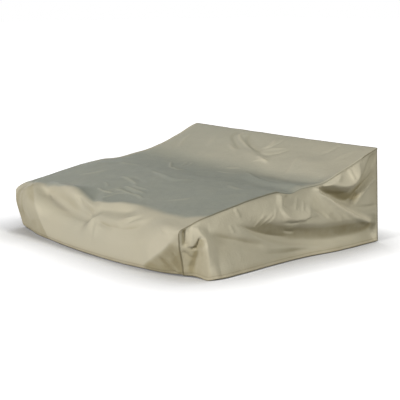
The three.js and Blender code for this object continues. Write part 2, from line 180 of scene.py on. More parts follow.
# On the top panel a path is (x, along), and left is towards the back for a path that runs to +x.
TOP_FOLDS = folds(
    # the front trough, left, and the ridge over it
    ([(-930, 452), (-836, 417), (-772, 408), (-664, 384), (-475, 331), (-305, 302), (-118, 288),
      (28, 266)],
     -62, (104, 180), 0.3, (0.22, 0.1), (1.15, 1.8)),
    ([(-900, 500), (-650, 466), (-400, 426), (-260, 386), (-150, 343)], 26, (110, 66), 0.3, (0.3, 0.3), 1.5),
    # the humps on the front edge, and the dip between them
    ([(-640, 500), (-400, 485), (-250, 440)], 20, (130, 90), 0.6, (0.5, 0.4)),
    ([(40, 290), (-50, 380), (-170, 480), (-280, 580)], -16, (70, 70), 0.4, (0.1, 0.6)),
    ([(40, 440), (200, 470), (350, 480), (520, 450)], 14, (110, 80), 0.5, (0.3, 0.4)),
    # the trough under the front edge, and the long curved one below it
    ([(-50, 364), (60, 376), (200, 388), (330, 404), (480, 436)],
     -27, (56, 110), 0.3, (0.2, 0.4), (1.2, 1.8)),
    ([(-20, 300), (92, 268), (200, 248), (345, 243), (452, 256), (550, 290), (636, 353), (688, 430)],
     -23, (54, 130), 0.35, (0.15, 0.4), (1.3, 1.8)),
    # the ridges from the front corners down to the hem
    ([(-960, 450), (-845, 382), (-725, 285), (-643, 207), (-591, 112), (-545, 34), (-525, -20)],
     48, (110, 320), 0.05, (0.2, 0.7), (1.4, 1.0)),
    ([(985, 330), (954, 296), (879, 212), (813, 156), (724, 95), (637, 34), (600, 0)],
     40, (150, 230), 0.04, (0.25, 0.5), (1.1, 1.2)),
    # the cloth pulled in at the two front seams
    ([(985, 320), (955, 240), (942, 100), (935, -20)], -8, (160, 160), 0.3, (0.8, 0), 1.2),
    ([(-1050, 400), (-1095, 250), (-1105, 120), (-1075, -20)], -14, (300, 300), 0.2, (0.3, 0), 1),
    ([(-1045, 370), (-1095, 250), (-1105, 120), (-1075, -20)], -7, (50, 50), 0.05, (0.15, 0), 2),
    # the seat, and the valley where it meets the raised back
    ([(130, 1690), (260, 1680), (437, 1650), (626, 1622), (815, 1605), (1040, 1640)],
     -18, (180, 130), 0.35, (0.35, 0.1), 1.4),
    ([(180, 1612), (300, 1560), (461, 1471), (638, 1411), (768, 1390), (910, 1405), (1040, 1440)],
     12, (34, 90), 0.15, (0.3, 0.1), 1.4),
    ([(-240, 1085), (-60, 1045), (125, 1000), (177, 1030), (230, 1110)],
     11, (60, 40), 0.15, (0.35, 0.2), 1.4),
    # the raised back, with the sag at the top of its slope
    ([(360, 1960), (560, 1860), (800, 1830), (960, 1830)], 12, (140, 160), 0.7, (0.4, 0.4)),
    ([(-400, 2130), (-80, 1950), (130, 1870), (256, 1915), (354, 2040)], -8, (110, 60), 0.3, (0.2, 0.3), 1.5),
    ([(-180, 1960), (90, 1850), (256, 1800), (400, 1765)], 10, (60, 90), 0.3, (0.4, 0.4)),
)

# On a side panel a path is (y, z), and left is up for a path that runs to the back.
RIGHT_FOLDS = folds(
    # the corner ridge, and the hollow before it
    ([(41, 358), (56, 284), (73, 236), (78, 194), (83, 130), (85, 51), (86, -20)],
     30, (70, 40), 0.1, (0.2, 0), 1.5),
    ([(34, 240), (36, 160), (30, 91), (33, 29), (35, -20)], -20, (26, 34), 0.25, (0.3, 0.3)),
    # the belly, and the long trough under it
    ([(440, 360), (650, 310), (850, 275), (1020, 250), (1250, 225), (1450, 200)],
     26, (150, 90), 0.6, (0.3, 0.5)),
    ([(353, 306), (420, 280), (500, 248), (605, 212), (751, 163), (900, 129), (1012, 112), (1189, 92),
      (1449, 88), (1790, 96)], -52, (122, 130), 0.25, (0.25, 0.02), (1.15, 1.6)),
    ([(335, 322), (365, 308), (471, 264), (605, 218), (751, 178), (900, 148)],
     -14, (32, 26), 0.1, (0.2, 0.4)),
    ([(360, 290), (471, 235), (605, 176), (751, 124), (920, 80), (1150, 54), (1450, 50), (1700, 58)],
     12, (30, 60), 0.2, (0.2, 0.3)),
    # two shallower troughs between it and the hem
    ([(110, 280), (250, 236), (377, 200), (553, 143), (700, 95)], -20, (40, 60), 0.2, (0.2, 0.5), 1.5),
    ([(480, 110), (640, 72), (800, 48), (960, 42), (1150, 40)], -19, (44, 40), 0.25, (0.3, 0.4), 1.5),
    # a loop of loose cloth, and the pinch under the seam where it starts
    ([(750, 420), (757, 371), (779, 322), (831, 288), (920, 272), (1010, 284), (1036, 335), (1035, 385)],
     20, (70, 24), 0.12, (0.3, 0.3), (1.5, 1.1)),
    ([(752, 490), (764, 430), (760, 360)], 18, (26, 40), 0.06, (0.1, 0.5), 1.2),
    ([(830, 470), (812, 420), (790, 372)], -10, (40, 26), 0.2, (0.15, 0.2), 1.3),
    # the sharp ridge to the back corner, and the shelf and pocket over it
    ([(1060, 500), (1120, 450), (1190, 395), (1270, 340), (1350, 290), (1420, 256), (1550, 192),
      (1740, 125)],
     26, (44, 170), 0.14, (0.2, 0.2), (1.2, 1.2)),
    ([(1090, 485), (1125, 440), (1190, 392), (1270, 338), (1350, 289), (1420, 255), (1550, 192),
      (1740, 130)],
     16, (22, 30), 0.2, (0.05, 0.15), 1.3),
    ([(1100, 478), (1204, 478), (1331, 456), (1420, 455), (1480, 480), (1535, 550), (1560, 625)],
     56, (110, 54), 0.08, (0.2, 0.25), (1.4, 1.1)),
    ([(1112, 470), (1240, 416), (1380, 348), (1460, 335), (1535, 378), (1605, 440), (1690, 520)],
     -56, (88, 44), 0.2, (0.1, 0.5), (1.2, 1.4)),
    # the back corner
    ([(1570, 420), (1650, 560), (1745, 690)], -18, (45, 60), 0.3, (0.3, 0.3)),
)
# Painted shade, and painted highlight where rise is below 0. These have the form of folds, but rise is how
# strong they are.
TOP_PAINTED_SHADING = folds(
    ([(1000, 325), (970, 277), (896, 193), (830, 137), (741, 76), (655, 15), (620, -20)],
     1.7, (250, 36), 1.5, (0.3, 0.1), 0.8),
    ([(-960, 455), (-862, 380), (-745, 285), (-656, 200), (-620, 109), (-567, 29), (-550, -20)],
     0.85, (14, 430), 1.5, (0.05, 0), 0.6),
    # the creases that fan out on the raised back
    ([(-430, 2170), (-402, 2054), (-225, 1934), (-83, 1883)], 0.35, (34, 34), 0.5, (0.1, 0.3), 1),
    ([(-290, 2180), (-255, 2084), (-106, 1970), (47, 1918), (142, 1893)], 0.5, (44, 30), 0.5, (0.1, 0.2), 1),
    ([(142, 1885), (256, 1922), (354, 2014)], 0.3, (40, 26), 0.5, (0.2, 0.3), 1),
    ([(-370, 2170), (-343, 2074), (-165, 1974), (-35, 1923), (40, 1880)], -0.8, (24, 24), 0.5, (0.1, 0.2), 1),
    ([(100, 1840), (220, 1803), (330, 1766)], -1.0, (30, 30), 0.5, (0.2, 0.4), 1),
    ([(60, 2100), (90, 1990), (110, 1930)], -0.8, (40, 30), 0.5, (0.3, 0.2), 1),
)
# painted shade and highlight of the right panel, in the same form
RIGHT_PAINTED_SHADING = folds(
    ([(1790, 690), (1790, 430), (1790, 200)], 0.4, (140, 140), 1.5, (0.1, 0.2), 0.8),
    ([(12, 330), (12, 170), (12, -60)], 1.0, (90, 100), 1.2, (0.5, 0), 0.8),
    ([(-38, 326), (-33, 263), (-26, 210)], 0.7, (18, 24), 0.6, (0.05, 0.3), 1),
    ([(18, 196), (36, 226), (56, 262)], 0.8, (5, 30), 0.6, (0.1, 0.1), 1),
    ([(36, 190), (28, 91), (32, 10)], 0.6, (20, 26), 0.6, (0.2, 0.2), 1),
    # the front third of the side
    ([(170, 310), (195, 190), (230, 90)], 0.26, (130, 60), 1.5, (0.2, 0.3), 1),
    ([(420, 300), (900, 175), (1300, 140), (1790, 125)], 0.12, (160, 50), 1.2, (0.3, 0), 1.4),
    # under the ridge to the back corner, and the light along its crest
    ([(1100, 478), (1190, 396), (1242, 360), (1328, 302), (1480, 219), (1760, 127)],
     0.55, (6, 170), 1.2, (0.1, 0.1), 0.9),
    ([(1110, 482), (1190, 402), (1242, 366), (1328, 308), (1480, 225), (1760, 133)],
     -2.2, (44, 14), 0.5, (0.05, 0.1), 1),
    # the dark of the pocket, which runs up beside the last fold
    ([(1480, 335), (1520, 362), (1560, 395)], 1.1, (34, 22), 0.8, (0.2, 0.3), 1),
    ([(1190, 440), (1330, 400), (1419, 367), (1505, 352), (1561, 405), (1658, 486), (1730, 560)],
     0.75, (46, 40), 0.8, (0.25, 0.3), 1),
)
LEFT_FOLDS = folds(
    ([(150, 360), (190, 240), (210, 110), (220, -20)], 16, (80, 80), 0.3, (0.2, 0)),
    ([(260, 300), (480, 190), (800, 120), (1150, 110), (1500, 170), (1720, 260)],
     24, (80, 130), 0.35, (0.2, 0.2)),
    ([(420, 330), (760, 290), (1100, 330), (1400, 440), (1650, 600)], -22, (110, 90), 0.5, (0.2, 0.2)),
)
BACK_FOLDS = folds(
    ([(-560, 640), (-520, 400), (-470, 180), (-450, -20)], 20, (110, 140), 0.4, (0.4, 0)),
    ([(420, 650), (390, 420), (330, 200), (300, -20)], 18, (120, 120), 0.4, (0.4, 0)),
    ([(-800, 330), (-250, 260), (300, 270), (820, 350)], -16, (130, 110), 0.5, (0.2, 0.2)),
)

# Creases and pinches finer than those of the CAD model, and the turn of the hem.
TOP_CREASES = folds(
    # around the middle of the front
    ([(-300, 416), (-178, 382), (-90, 356), (-14, 330)], -16, (20, 48), 0.12, (0.2, 0.3)),
    ([(-200, 350), (-110, 334), (-41, 312), (-5, 290)], 7, (24, 26), 0.2, (0.4, 0.2)),
    ([(28, 300), (63, 219), (81, 116), (40, 20)], -4, (22, 22), 0.2, (0.1, 0.4)),
    ([(60, 300), (95, 219), (110, 116), (70, 20)], 3.5, (22, 22), 0.2, (0.1, 0.4)),
    ([(300, 278), (415, 306), (478, 350), (588, 384)], -10, (34, 40), 0.25, (0.2, 0.5)),
    ([(330, 316), (420, 346), (500, 376)], 7, (26, 26), 0.25, (0.3, 0.5)),
    ([(760, 330), (820, 305), (880, 280)], -8, (22, 26), 0.2, (0.4, 0.3)),
    # the near corner, where creases meet at the hem
    ([(770, 130), (806, 106), (837, 61), (862, 22), (912, 4)], -15, (24, 30), 0.15, (0.3, 0)),
    ([(880, 215), (898, 175), (913, 117), (927, 39), (930, 0)], -9, (16, 18), 0.2, (0.4, 0)),
    ([(860, 130), (875, 89), (903, 28), (915, 10)], 8, (18, 18), 0.2, (0.4, 0)),
    ([(940, 250), (935, 150), (935, 60)], 6, (14, 14), 0.25, (0.3, 0.2)),
    # the far corner and the lower front
    ([(-905, 370), (-930, 230), (-985, 60)], -8, (40, 40), 0.3, (0.3, 0.3)),
    ([(-830, 330), (-800, 220), (-790, 90)], 5, (40, 40), 0.3, (0.3, 0.3)),
    ([(95, 262), (210, 244), (300, 224)], -6, (25, 40), 0.2, (0.2, 0.5)),
    # the seat
    ([(-330, 612), (-250, 590), (-170, 585), (-100, 600)], 6.8, (22, 16), 0.12, (0.15, 0.15)),
    ([(-130, 480), (-87, 535), (-72, 594), (-21, 630), (70, 624)], 6, (22, 22), 0.2, (0.2, 0.3)),
    ([(-190, 550), (-184, 620), (-158, 680), (-107, 710)], 5, (18, 18), 0.2, (0.3, 0.3)),
    ([(-180, 655), (-60, 655), (60, 640), (170, 622), (260, 590)], 8.2, (26, 16), 0.12, (0.15, 0.2)),
    ([(-150, 725), (-40, 712), (70, 695), (180, 670)], 8.2, (26, 16), 0.12, (0.15, 0.2)),
    ([(-120, 690), (10, 672), (120, 648)], -6.8, (18, 20), 0.15, (0.15, 0.2)),
    ([(-90, 762), (19, 752), (136, 745)], 5.4, (20, 15), 0.15, (0.15, 0.2)),
    ([(-400, 866), (-300, 858), (-190, 828), (-60, 785)], 6.8, (28, 20), 0.15, (0.15, 0.2)),
    ([(-330, 900), (-200, 885), (-60, 850)], -5.4, (30, 26), 0.2, (0.4, 0.4)),
    ([(-420, 720), (-330, 690), (-250, 640)], 5.4, (24, 20), 0.2, (0.4, 0.4)),
    ([(-360, 1120), (-200, 1075), (-60, 1045)], 5.4, (26, 18), 0.2, (0.4, 0.4)),
    ([(-560, 1490), (-440, 1390), (-343, 1328), (-270, 1330), (-236, 1390)],
     6.8, (24, 18), 0.12, (0.15, 0.15)),
    ([(-343, 1330), (-240, 1310), (-170, 1350)], 5.4, (20, 16), 0.15, (0.15, 0.2)),
    ([(-437, 1561), (-385, 1490), (-370, 1440)], 5.4, (18, 18), 0.15, (0.15, 0.15)),
    ([(-380, 1575), (-330, 1500), (-320, 1450)], 5.4, (18, 18), 0.15, (0.15, 0.15)),
    ([(0, 1596), (70, 1622), (130, 1645)], 6.8, (22, 14), 0.15, (0.15, 0.15)),
    ([(120, 1760), (200, 1790), (300, 1790)], 6.8, (26, 18), 0.2, (0.4, 0.4)),
    ([(-20, 1500), (130, 1490), (240, 1530)], 5.4, (26, 26), 0.25, (0.4, 0.4)),
    ([(420, 620), (560, 700), (620, 820)], 4.8, (40, 40), 0.3, (0.4, 0.4)),
    ([(560, 1120), (700, 1060), (860, 1060)], 4.8, (40, 40), 0.3, (0.4, 0.4)),
    ([(-820, 700), (-700, 820), (-640, 980)], 5.4, (50, 40), 0.3, (0.4, 0.4)),
    ([(-860, 1180), (-700, 1160), (-520, 1210)], 5.4, (40, 50), 0.3, (0.4, 0.4)),
    # the raised back, where creases fan out from a point under its top edge
    ([(-430, 2170), (-402, 2054), (-225, 1934), (-83, 1883)], -9.2, (34, 30), 0.12, (0.2, 0.3)),
    ([(-370, 2170), (-343, 2074), (-165, 1974), (-35, 1923), (40, 1880)], 9.2, (26, 30), 0.1, (0.2, 0.3)),
    ([(-290, 2180), (-255, 2084), (-106, 1970), (47, 1918), (142, 1893)], -10.2, (34, 26), 0.1, (0.2, 0.3)),
    ([(-343, 1944), (-201, 1873), (-130, 1880)], 7.1, (24, 22), 0.12, (0.3, 0.4)),
    ([(30, 1945), (90, 1990), (60, 2090), (40, 2150)], 6.1, (22, 26), 0.12, (0.2, 0.3)),
    ([(125, 2170), (140, 2080), (125, 1990), (119, 1915)], -6.1, (28, 28), 0.12, (0.2, 0.3)),
    ([(90, 1930), (175, 1975), (284, 2020)], 6.1, (22, 26), 0.15, (0.2, 0.4)),
    ([(47, 1912), (153, 1879), (256, 1922), (354, 2014)], -6.1, (30, 22), 0.12, (0.3, 0.4)),
    ([(120, 1832), (220, 1800), (320, 1766)], 9.2, (16, 28), 0.1, (0.3, 0.4)),
    ([(490, 1940), (532, 1803), (575, 1680)], 5, (50, 22), 0.15, (0.3, 0.2)),
    ([(-900, 2060), (-860, 1900), (-760, 1720)], 5, (40, 50), 0.25, (0.3, 0.4)),
    ([(-600, 2120), (-560, 1960), (-470, 1820)], 4.1, (50, 40), 0.3, (0.4, 0.4)),
    ([(700, 2180), (690, 2060), (640, 1960)], -6.1, (40, 50), 0.25, (0.2, 0.4)),
    ([(900, 2150), (850, 2000), (840, 1880)], 4.1, (50, 40), 0.3, (0.4, 0.4)),
    # the turned hem tucks under a little
    ([(-1075, 0), (935, 0)], -9, (30, 30), 0.1, (0, 0), 1.4),
)
RIGHT_CREASES = folds(
    # the tongue of cloth by the front seam, and the arch behind it
    ([(-37, 326), (-31, 263), (-22, 198)], -20, (24, 32), 0.35, (0.05, 0.25)),
    ([(22, 345), (7, 266), (-8, 200)], 15, (46, 18), 0.3, (0.15, 0.12), (1.0, 1.4)),
    ([(-46, 182), (-16, 163), (8, 136), (24, 112)], -8, (14, 26), 0.2, (0.2, 0.3)),
    ([(4, 184), (20, 205), (34, 230), (52, 268)], -16, (10, 30), 0.15, (0.15, 0.2)),
    ([(50, 268), (66, 254), (73, 225), (73, 187)], -10, (11, 11), 0.15, (0.2, 0.3)),
    # pinches and drag lines
    ([(345, 435), (370, 386), (395, 345)], 7, (18, 15), 0.2, (0.2, 0.3)),
    ([(300, 322), (306, 290), (325, 245)], 6, (13, 13), 0.25, (0.3, 0.3)),
    ([(505, 262), (560, 310), (605, 355)], 3.5, (14, 20), 0.2, (0.2, 0.2)),
    ([(560, 262), (620, 310), (678, 352)], 3.5, (14, 20), 0.2, (0.2, 0.2)),
    ([(625, 265), (680, 325), (715, 385)], 3.5, (14, 20), 0.2, (0.2, 0.2)),
    ([(755, 268), (810, 262), (870, 254), (940, 266)], -9, (18, 22), 0.15, (0.3, 0.3)),
    ([(798, 214), (869, 192), (928, 184)], -9, (18, 20), 0.15, (0.3, 0.3)),
    ([(960, 262), (1040, 262), (1122, 272)], -8, (18, 24), 0.15, (0.3, 0.3)),
    ([(1050, 330), (1120, 300), (1200, 235)], -6, (24, 24), 0.25, (0.3, 0.3)),
    ([(1130, 300), (1220, 240), (1290, 180)], 5, (26, 26), 0.2, (0.4, 0.4)),
    ([(1200, 320), (1300, 250), (1370, 180)], 5, (24, 24), 0.2, (0.4, 0.4)),
    ([(1330, 270), (1400, 215), (1450, 160)], 4, (22, 22), 0.2, (0.4, 0.4)),
    ([(890, 330), (905, 380), (930, 430)], 6, (20, 26), 0.2, (0.3, 0.3)),
    ([(960, 320), (985, 400)], 5, (18, 18), 0.2, (0.3, 0.3)),
    # the shelf and the back corner
    ([(1437, 595), (1445, 540), (1455, 480)], 11, (30, 16), 0.12, (0.1, 0.2)),
    ([(1390, 570), (1340, 520), (1290, 492)], 8, (20, 30), 0.15, (0.1, 0.2)),
    ([(1468, 307), (1520, 345), (1571, 379), (1650, 432), (1725, 476)], 17, (30, 46), 0.12, (0.1, 0.05)),
    ([(1505, 350), (1561, 400), (1658, 476), (1725, 560)], -12, (30, 22), 0.2, (0.2, 0.3)),
    ([(1490, 292), (1553, 281), (1650, 272), (1749, 275)], -9, (18, 30), 0.2, (0.3, 0.2)),
    # the turned hem stands out a little
    ([(0, 0), (1770, 0)], 6, (28, 28), 0.1, (0.1, 0), 1.4),
)


def hermite(knots, values, t):
    """Values at t of a smooth curve through the values at the knots. The knots run along axis 0."""
    knots, values, t = (np.asarray(a, float) for a in (knots, values, t))
    last = len(knots) - 1
    at = np.arange(last + 1)
    before, after = np.maximum(at - 1, 0), np.minimum(at + 1, last)
    wide = (...,) + (None,) * (values.ndim - 1)
    slopes = (values[after] - values[before]) / (knots[after] - knots[before])[wide]
    i = np.clip(np.searchsorted(knots, t, side="left") - 1, 0, last - 1)
    span = (knots[i + 1] - knots[i])[wide]
    f = (t[wide] - knots[i][wide]) / span
    f2, f3 = f * f, f * f * f
    return (
        (2 * f3 - 3 * f2 + 1) * values[i]
        + (f3 - 2 * f2 + f) * span * slopes[i]
        + (3 * f2 - 2 * f3) * values[i + 1]
        + (f3 - f2) * span * slopes[i + 1]
    )


def ease(t):
    """0 below 0 and 1 above 1, with a smooth rise between."""
    t = np.clip(t, 0, 1)
    return t * t * (3 - 2 * t)


def ramp(value, begins, width):
    """A smooth rise from 0 to 1 over a width. Where width is below 0, it rises towards lower values."""
    return ease((value - begins) / width)


def path_points(path):
    """A smooth path through the given points."""
    path = np.array(path, float)
    knots = np.concatenate([[0], np.cumsum(np.hypot(*np.diff(path, axis=0).T))])
    return hermite(knots, path, np.linspace(0, knots[-1], PATH_STEPS + 1))


def fold_rise(f, p, q):
    """How far one fold stands off the panel at the points (p, q)."""
    line = path_points(f["path"])
    best = np.full(p.shape, np.inf)
    on_left = np.zeros(p.shape, bool)
    share = np.zeros(p.shape)
    for k in range(PATH_STEPS):
        a, step = line[k], line[k + 1] - line[k]
        along = np.clip(((p - a[0]) * step[0] + (q - a[1]) * step[1]) / step.dot(step), 0, 1)
        distance = np.hypot(p - a[0] - along * step[0], q - a[1] - along * step[1])
        nearer = distance < best
        best = np.where(nearer, distance, best)
        on_left = np.where(nearer, step[0] * (q - a[1]) - step[1] * (p - a[0]) > 0, on_left)
        share = np.where(nearer, (k + along) / PATH_STEPS, share)
    reach = np.where(on_left, f["reach"][0], f["reach"][1])
    crest = f["crest"]
    e = (np.hypot(best / reach, crest) - crest) / (math.hypot(1, crest) - crest)
    start, end = f["fade"]
    swell = (ease(share / start) if start else 1) * (ease((1 - share) / end) if end else 1)
    near, far = f["flank"] if isinstance(f["flank"], tuple) else (f["flank"], f["flank"])
    return f["rise"] * swell * np.clip(1 - e, 0, 1) ** np.where(on_left, near, far)


def folds_rise(folds, p, q):
    """How far all the folds together stand off the panel."""
    total = np.zeros(p.shape)
    for f in folds:
        total += fold_rise(f, p, q)
    return total


def crumple(p, q, seed, size, height):
    """Soft random unevenness: a few crossing waves of about the given size, in millimetres."""
    rng = np.random.default_rng(seed)
    total = np.zeros(p.shape)
    for _ in range(WAVES):
        angle, phase = rng.uniform(0, math.tau, 2)
        length = size * rng.uniform(*WAVE_LENGTHS)
        crossing = p * math.sin(angle) - q * math.cos(angle)
        bend = WAVE_BEND * np.sin(crossing * math.tau / (length * BEND_LENGTH) + phase * 3)
        total += np.sin((p * math.cos(angle) + q * math.sin(angle)) * math.tau / length + phase + bend)
    return total * height / math.sqrt(WAVES)


def unevenness(panel, p, q):
    return sum(crumple(p, q, *waves) for waves in UNEVEN[panel])


def normals_of(points):
    """Outward normals of a grid of points (columns, rows, 3)."""
    across = np.empty_like(points)
    across[1:-1] = points[2:] - points[:-2]
    across[0], across[-1] = points[1] - points[0], points[-1] - points[-2]
    up = np.empty_like(points)
    up[:, 1:-1] = points[:, 2:] - points[:, :-2]
    up[:, 0], up[:, -1] = points[:, 1] - points[:, 0], points[:, -1] - points[:, -2]
    normal = np.cross(across, up)
    return normal / np.linalg.norm(normal, axis=2, keepdims=True)


def with_folds(points, folds, p, q, free=1.0, extra=0.0):
    rise = folds_rise(folds, p, q) + extra
    return points + normals_of(points) * (rise * free)[..., None]


# The grids of the four panels.
def rows_of_top():
    rows = [0.0]
    for band in ROW_BANDS:
        start = rows[-1]
        rows += [start + (band["up_to"] - start) * (k + 1) / band["cells"] for k in range(band["cells"])]
    return np.array(rows)


def top_points(u, along):
    """The top panel without its folds, at u across (-1 to 1) and a distance along from the front hem."""
    u, along = np.atleast_1d(u).astype(float), np.atleast_1d(along).astype(float)
    stations, seams, across = zip(*TOP_STATIONS)
    ends = hermite(stations, seams, along)
    lines = hermite(stations, across, along)
    yz = hermite(ACROSS_AT, lines.transpose(1, 0, 2), u)
    x = ends[None, :, 0] + (ends[:, 1] - ends[:, 0])[None, :] * ((u + 1) / 2)[:, None]
    return np.concatenate([x[..., None], yz], axis=2)


def coons(bottom, top, start, end):
    """A patch between four edges that meet at its corners. bottom and top run the same way, and so do
    start and end."""
    a = np.linspace(0, 1, len(bottom))[:, None, None]
    b = np.linspace(0, 1, len(start))[None, :, None]
    sides = (1 - b) * bottom[:, None] + b * top[:, None] + (1 - a) * start[None] + a * end[None]
    low = (1 - a) * (1 - b) * bottom[0] + a * (1 - b) * bottom[-1]
    return sides - (low + (1 - a) * b * top[0] + a * b * top[-1])


def hem_line(hem, top_edge, side):
    """The hem of a side panel, with a point under each point of its top edge."""
    ys = np.array(hem["y"], float)
    share = (top_edge[:, 1] - top_edge[0, 1]) / (top_edge[-1, 1] - top_edge[0, 1])
    y = ys[0] + (ys[-1] - ys[0]) * share
    return np.stack([side * hermite(ys, hem["x"], y), y, hermite(ys, hem["z"], y)], axis=1)


def sewn_edges(points):
    """The edges where a panel is sewn to others: all but its hem."""
    return points[:, -1:], points[:1], points[-1:]


def held(points):
    """How free the folds are at each point, from 0 at the edges that hold the panel."""
    free = np.ones(points.shape[:2])
    for edge in sewn_edges(points):
        free = free * ramp(np.linalg.norm(points - edge, axis=2), LAP_HOLD, SEAM_HOLD)
    return free


def side_grid(panel, seam, hem, side, folds):
    """A side panel's outer surface. Its columns run from the front to the back on the right side, and
    from the back to the front on the left."""
    front_edge, top_edge = seam[: FRONT_CELLS + 1], seam[FRONT_CELLS:]
    bottom = hem_line(hem, top_edge, side)
    near_front = ease(1 - (bottom[:, 1:2] - bottom[0, 1]) / HEM_BLEND)
    bottom = bottom + (front_edge[0] - bottom[0]) * near_front
    rise = np.linspace(0, 1, FRONT_CELLS + 1)[:, None]
    corner = bottom[-1] * (1 - rise) + top_edge[-1] * rise
    base = coons(bottom, top_edge, front_edge, corner)
    if side < 0:
        base = base[::-1]
    p, q = base[..., 1], base[..., 2]
    return with_folds(base, folds, p, q, held(base), unevenness(panel, p, q))


def back_grid(top, right, left):
    top_edge = top[::-1, -1]
    start, end = right[-1], left[0]
    share = np.linspace(0, 1, ACROSS_CELLS + 1)[:, None]
    bottom = start[0] * (1 - share) + end[0] * share
    base = coons(bottom, top_edge, start, end)
    p, q = base[..., 0], base[..., 2]
    return with_folds(base, BACK_FOLDS, p, q, held(base), unevenness("back", p, q))


rows_along = rows_of_top()
FRONT_CELLS = ROW_BANDS[0]["cells"]

smooth_top = top_points(np.linspace(-1, 1, ACROSS_CELLS + 1), rows_along)
top_x, top_along = smooth_top[..., 0], np.broadcast_to(rows_along, smooth_top.shape[:2])
top_uneven = unevenness("top", top_x, top_along)
top = with_folds(smooth_top, TOP_FOLDS + TOP_CREASES, top_x, top_along, extra=top_uneven)
right = side_grid("right", top[-1], RIGHT_HEM, 1, RIGHT_FOLDS + RIGHT_CREASES)
left = side_grid("left", top[0], LEFT_HEM, -1, LEFT_FOLDS)
back = back_grid(top, right, left)
bearing_z = top_points(0, BEARING_ALONG)[0, 0, 2] - THICKNESS
TO_FRAME = np.array([0, -SEAT_Y, -bearing_z])

top_normal = normals_of(top)
right_normal = normals_of(right)
left_normal = normals_of(left)
back_normal = normals_of(back)


# The laps.
def lap_step(over):
    """The step from a seam down to the lap of a panel that lies under panels with these normals."""
    total = sum(over)
    return -(THICKNESS + LAP_GAP) * len(over) * total / (total * total).sum(axis=-1, keepdims=True)


def side_sink(points, seam_normals, corner_normals, flip):
    """Where a side panel lies under the top panel along its front and top edges, and under the back."""
    sink = np.zeros_like(points)
    upper = seam_normals[FRONT_CELLS:]
    if flip:
        sink = sink[::-1]
    sink[0] = lap_step([seam_normals[: FRONT_CELLS + 1]])
    sink[:, -1] = lap_step([upper])
    sink[-1] = lap_step([corner_normals])
    sink[-1, -1] = lap_step([upper[-1], corner_normals[-1]])
    return sink[::-1] if flip else sink


def with_flange(points, normals, steps, side):
    """Adds the top panel's flange, which laps over a side panel: columns past the seam that lie over it.
    normals are the side panel's outward normals along the seam, and steps lead from the seam onto it."""
    edge = points[-1] if side > 0 else points[0]
    down = steps / np.linalg.norm(steps, axis=1, keepdims=True)
    for _ in range(FLANGE_SMOOTHING):
        down[1:-1] = (down[:-2] + 2 * down[1:-1] + down[2:]) / 4
    down -= normals * (down * normals).sum(axis=1, keepdims=True)
    down /= np.linalg.norm(down, axis=1, keepdims=True)
    at_seam, further = LAP_STAND_SHARES
    columns = []
    for share in FLANGE_SHARES:
        out = LAP_STAND * (at_seam + further * math.sin(share * math.pi / 2))
        columns.append(edge + normals * out + down * LAP_WIDTH * share)
    extra = np.stack(columns)
    return np.concatenate([points, extra]) if side > 0 else np.concatenate([extra[::-1], points])


right_sink = side_sink(right, top_normal[-1], back_normal[0], False)
left_sink = side_sink(left, top_normal[0], back_normal[-1], True)
back_sink = np.zeros_like(back)
back_sink[:, -1] = lap_step([top_normal[::-1, -1]])

right_seam_normals = np.concatenate([right_normal[0, :-1], right_normal[:, -1]])
left_seam_normals = np.concatenate([left_normal[-1, :-1], left_normal[::-1, -1]])
right_steps = np.concatenate([right[1, :-1] - right[0, :-1], right[:, -2] - right[:, -1]])
left_steps = np.concatenate([left[-2, :-1] - left[-1, :-1], (left[:, -2] - left[:, -1])[::-1]])
wide_top = with_flange(top, right_seam_normals, right_steps, 1)
wide_top = with_flange(wide_top, left_seam_normals, left_steps, -1)


# What the material is told of each point: its painted shade and highlight, and how far from a seam.
def painted_shading_in_folds(points, folds, p, q, painted_marks=()):
    """Painted shade: 1 on the undersides of deep troughs, 0 on open cloth, and below 0, a painted highlight,
    on ridges.
    """
    total = np.zeros(p.shape)
    for f in folds:
        rise = fold_rise(f, p, q)
        full = min(abs(f["rise"]), DEEP_FOLD)
        if f["rise"] < 0:
            total += np.clip(-rise / full, 0, 1) ** 2 * full / DEEP_FOLD
        else:
            total -= np.clip(rise / full, 0, 1) ** 3 * full / (2 * DEEP_FOLD)
    # the painted shade is strongest where the cloth faces down, away from the light
    shaded_by_tilt = np.clip(UPRIGHT_SHADE - SHADE_BY_TILT * normals_of(points)[..., 2], 0, 1)
    painted_shading = np.where(total > 0, np.clip(total, 0, 1) * shaded_by_tilt, np.maximum(total, -MOST_PAINTED_HIGHLIGHT))
    return painted_shading + folds_rise(painted_marks, p, q)


def painted_top_shade_of(crease_rise):
    """How much painted shade each point of the top has: fully on the level seat, and less on the slope of the
    raised back. Folds count for a part, and the crests of creases lose some of it again, as a painted
    highlight."""
    level = SMOOTH_SHARE * normals_of(smooth_top)[..., 2] + FOLDED_SHARE * top_normal[..., 2]
    begins = np.interp(top_x, SEAT_EDGE["x"], SEAT_EDGE["along"])
    on_seat = ease((rows_along - begins) / SEAT_EDGE_WIDTH + 0.5) * ramp(level, *LEVEL_ENOUGH)
    on_back = ramp(rows_along, *BACK_BEGINS)
    back_share = BACK_TOP_SHADE - BACK_TOP_SHADE_LESS * top_x / SEAT_HALF_WIDTH
    painted_top_shade = on_seat * (1 - on_back) + back_share * on_back
    kept = 1
    for edge in LIGHTER_EDGES:
        by_edge = ramp(top_x, *edge["x"])
        for along in edge["along"]:
            by_edge = by_edge * ramp(rows_along, *along)
        kept = kept - edge["less"] * by_edge
    return painted_top_shade * kept * (1 - CREST_LIGHTENED * ramp(crease_rise, 0, CREST_RISE))


def widened(values):
    """The top panel's values, carried on over its flanges."""
    columns = len(FLANGE_SHARES)
    return np.pad(values, ((columns, columns), (0, 0)), mode="edge")


def seam_distance(points):
    """How far each point is from the nearest sewn edge."""
    return np.min([np.linalg.norm(points - edge, axis=2) for edge in sewn_edges(points)], axis=0)


def slack(along):
    """What is added to the distance from a side seam where the cloth rolls over it loosely."""
    return SLACK_FADE * ramp(along, *SLACK_BEGINS) * ramp(along, *SLACK_ENDS)
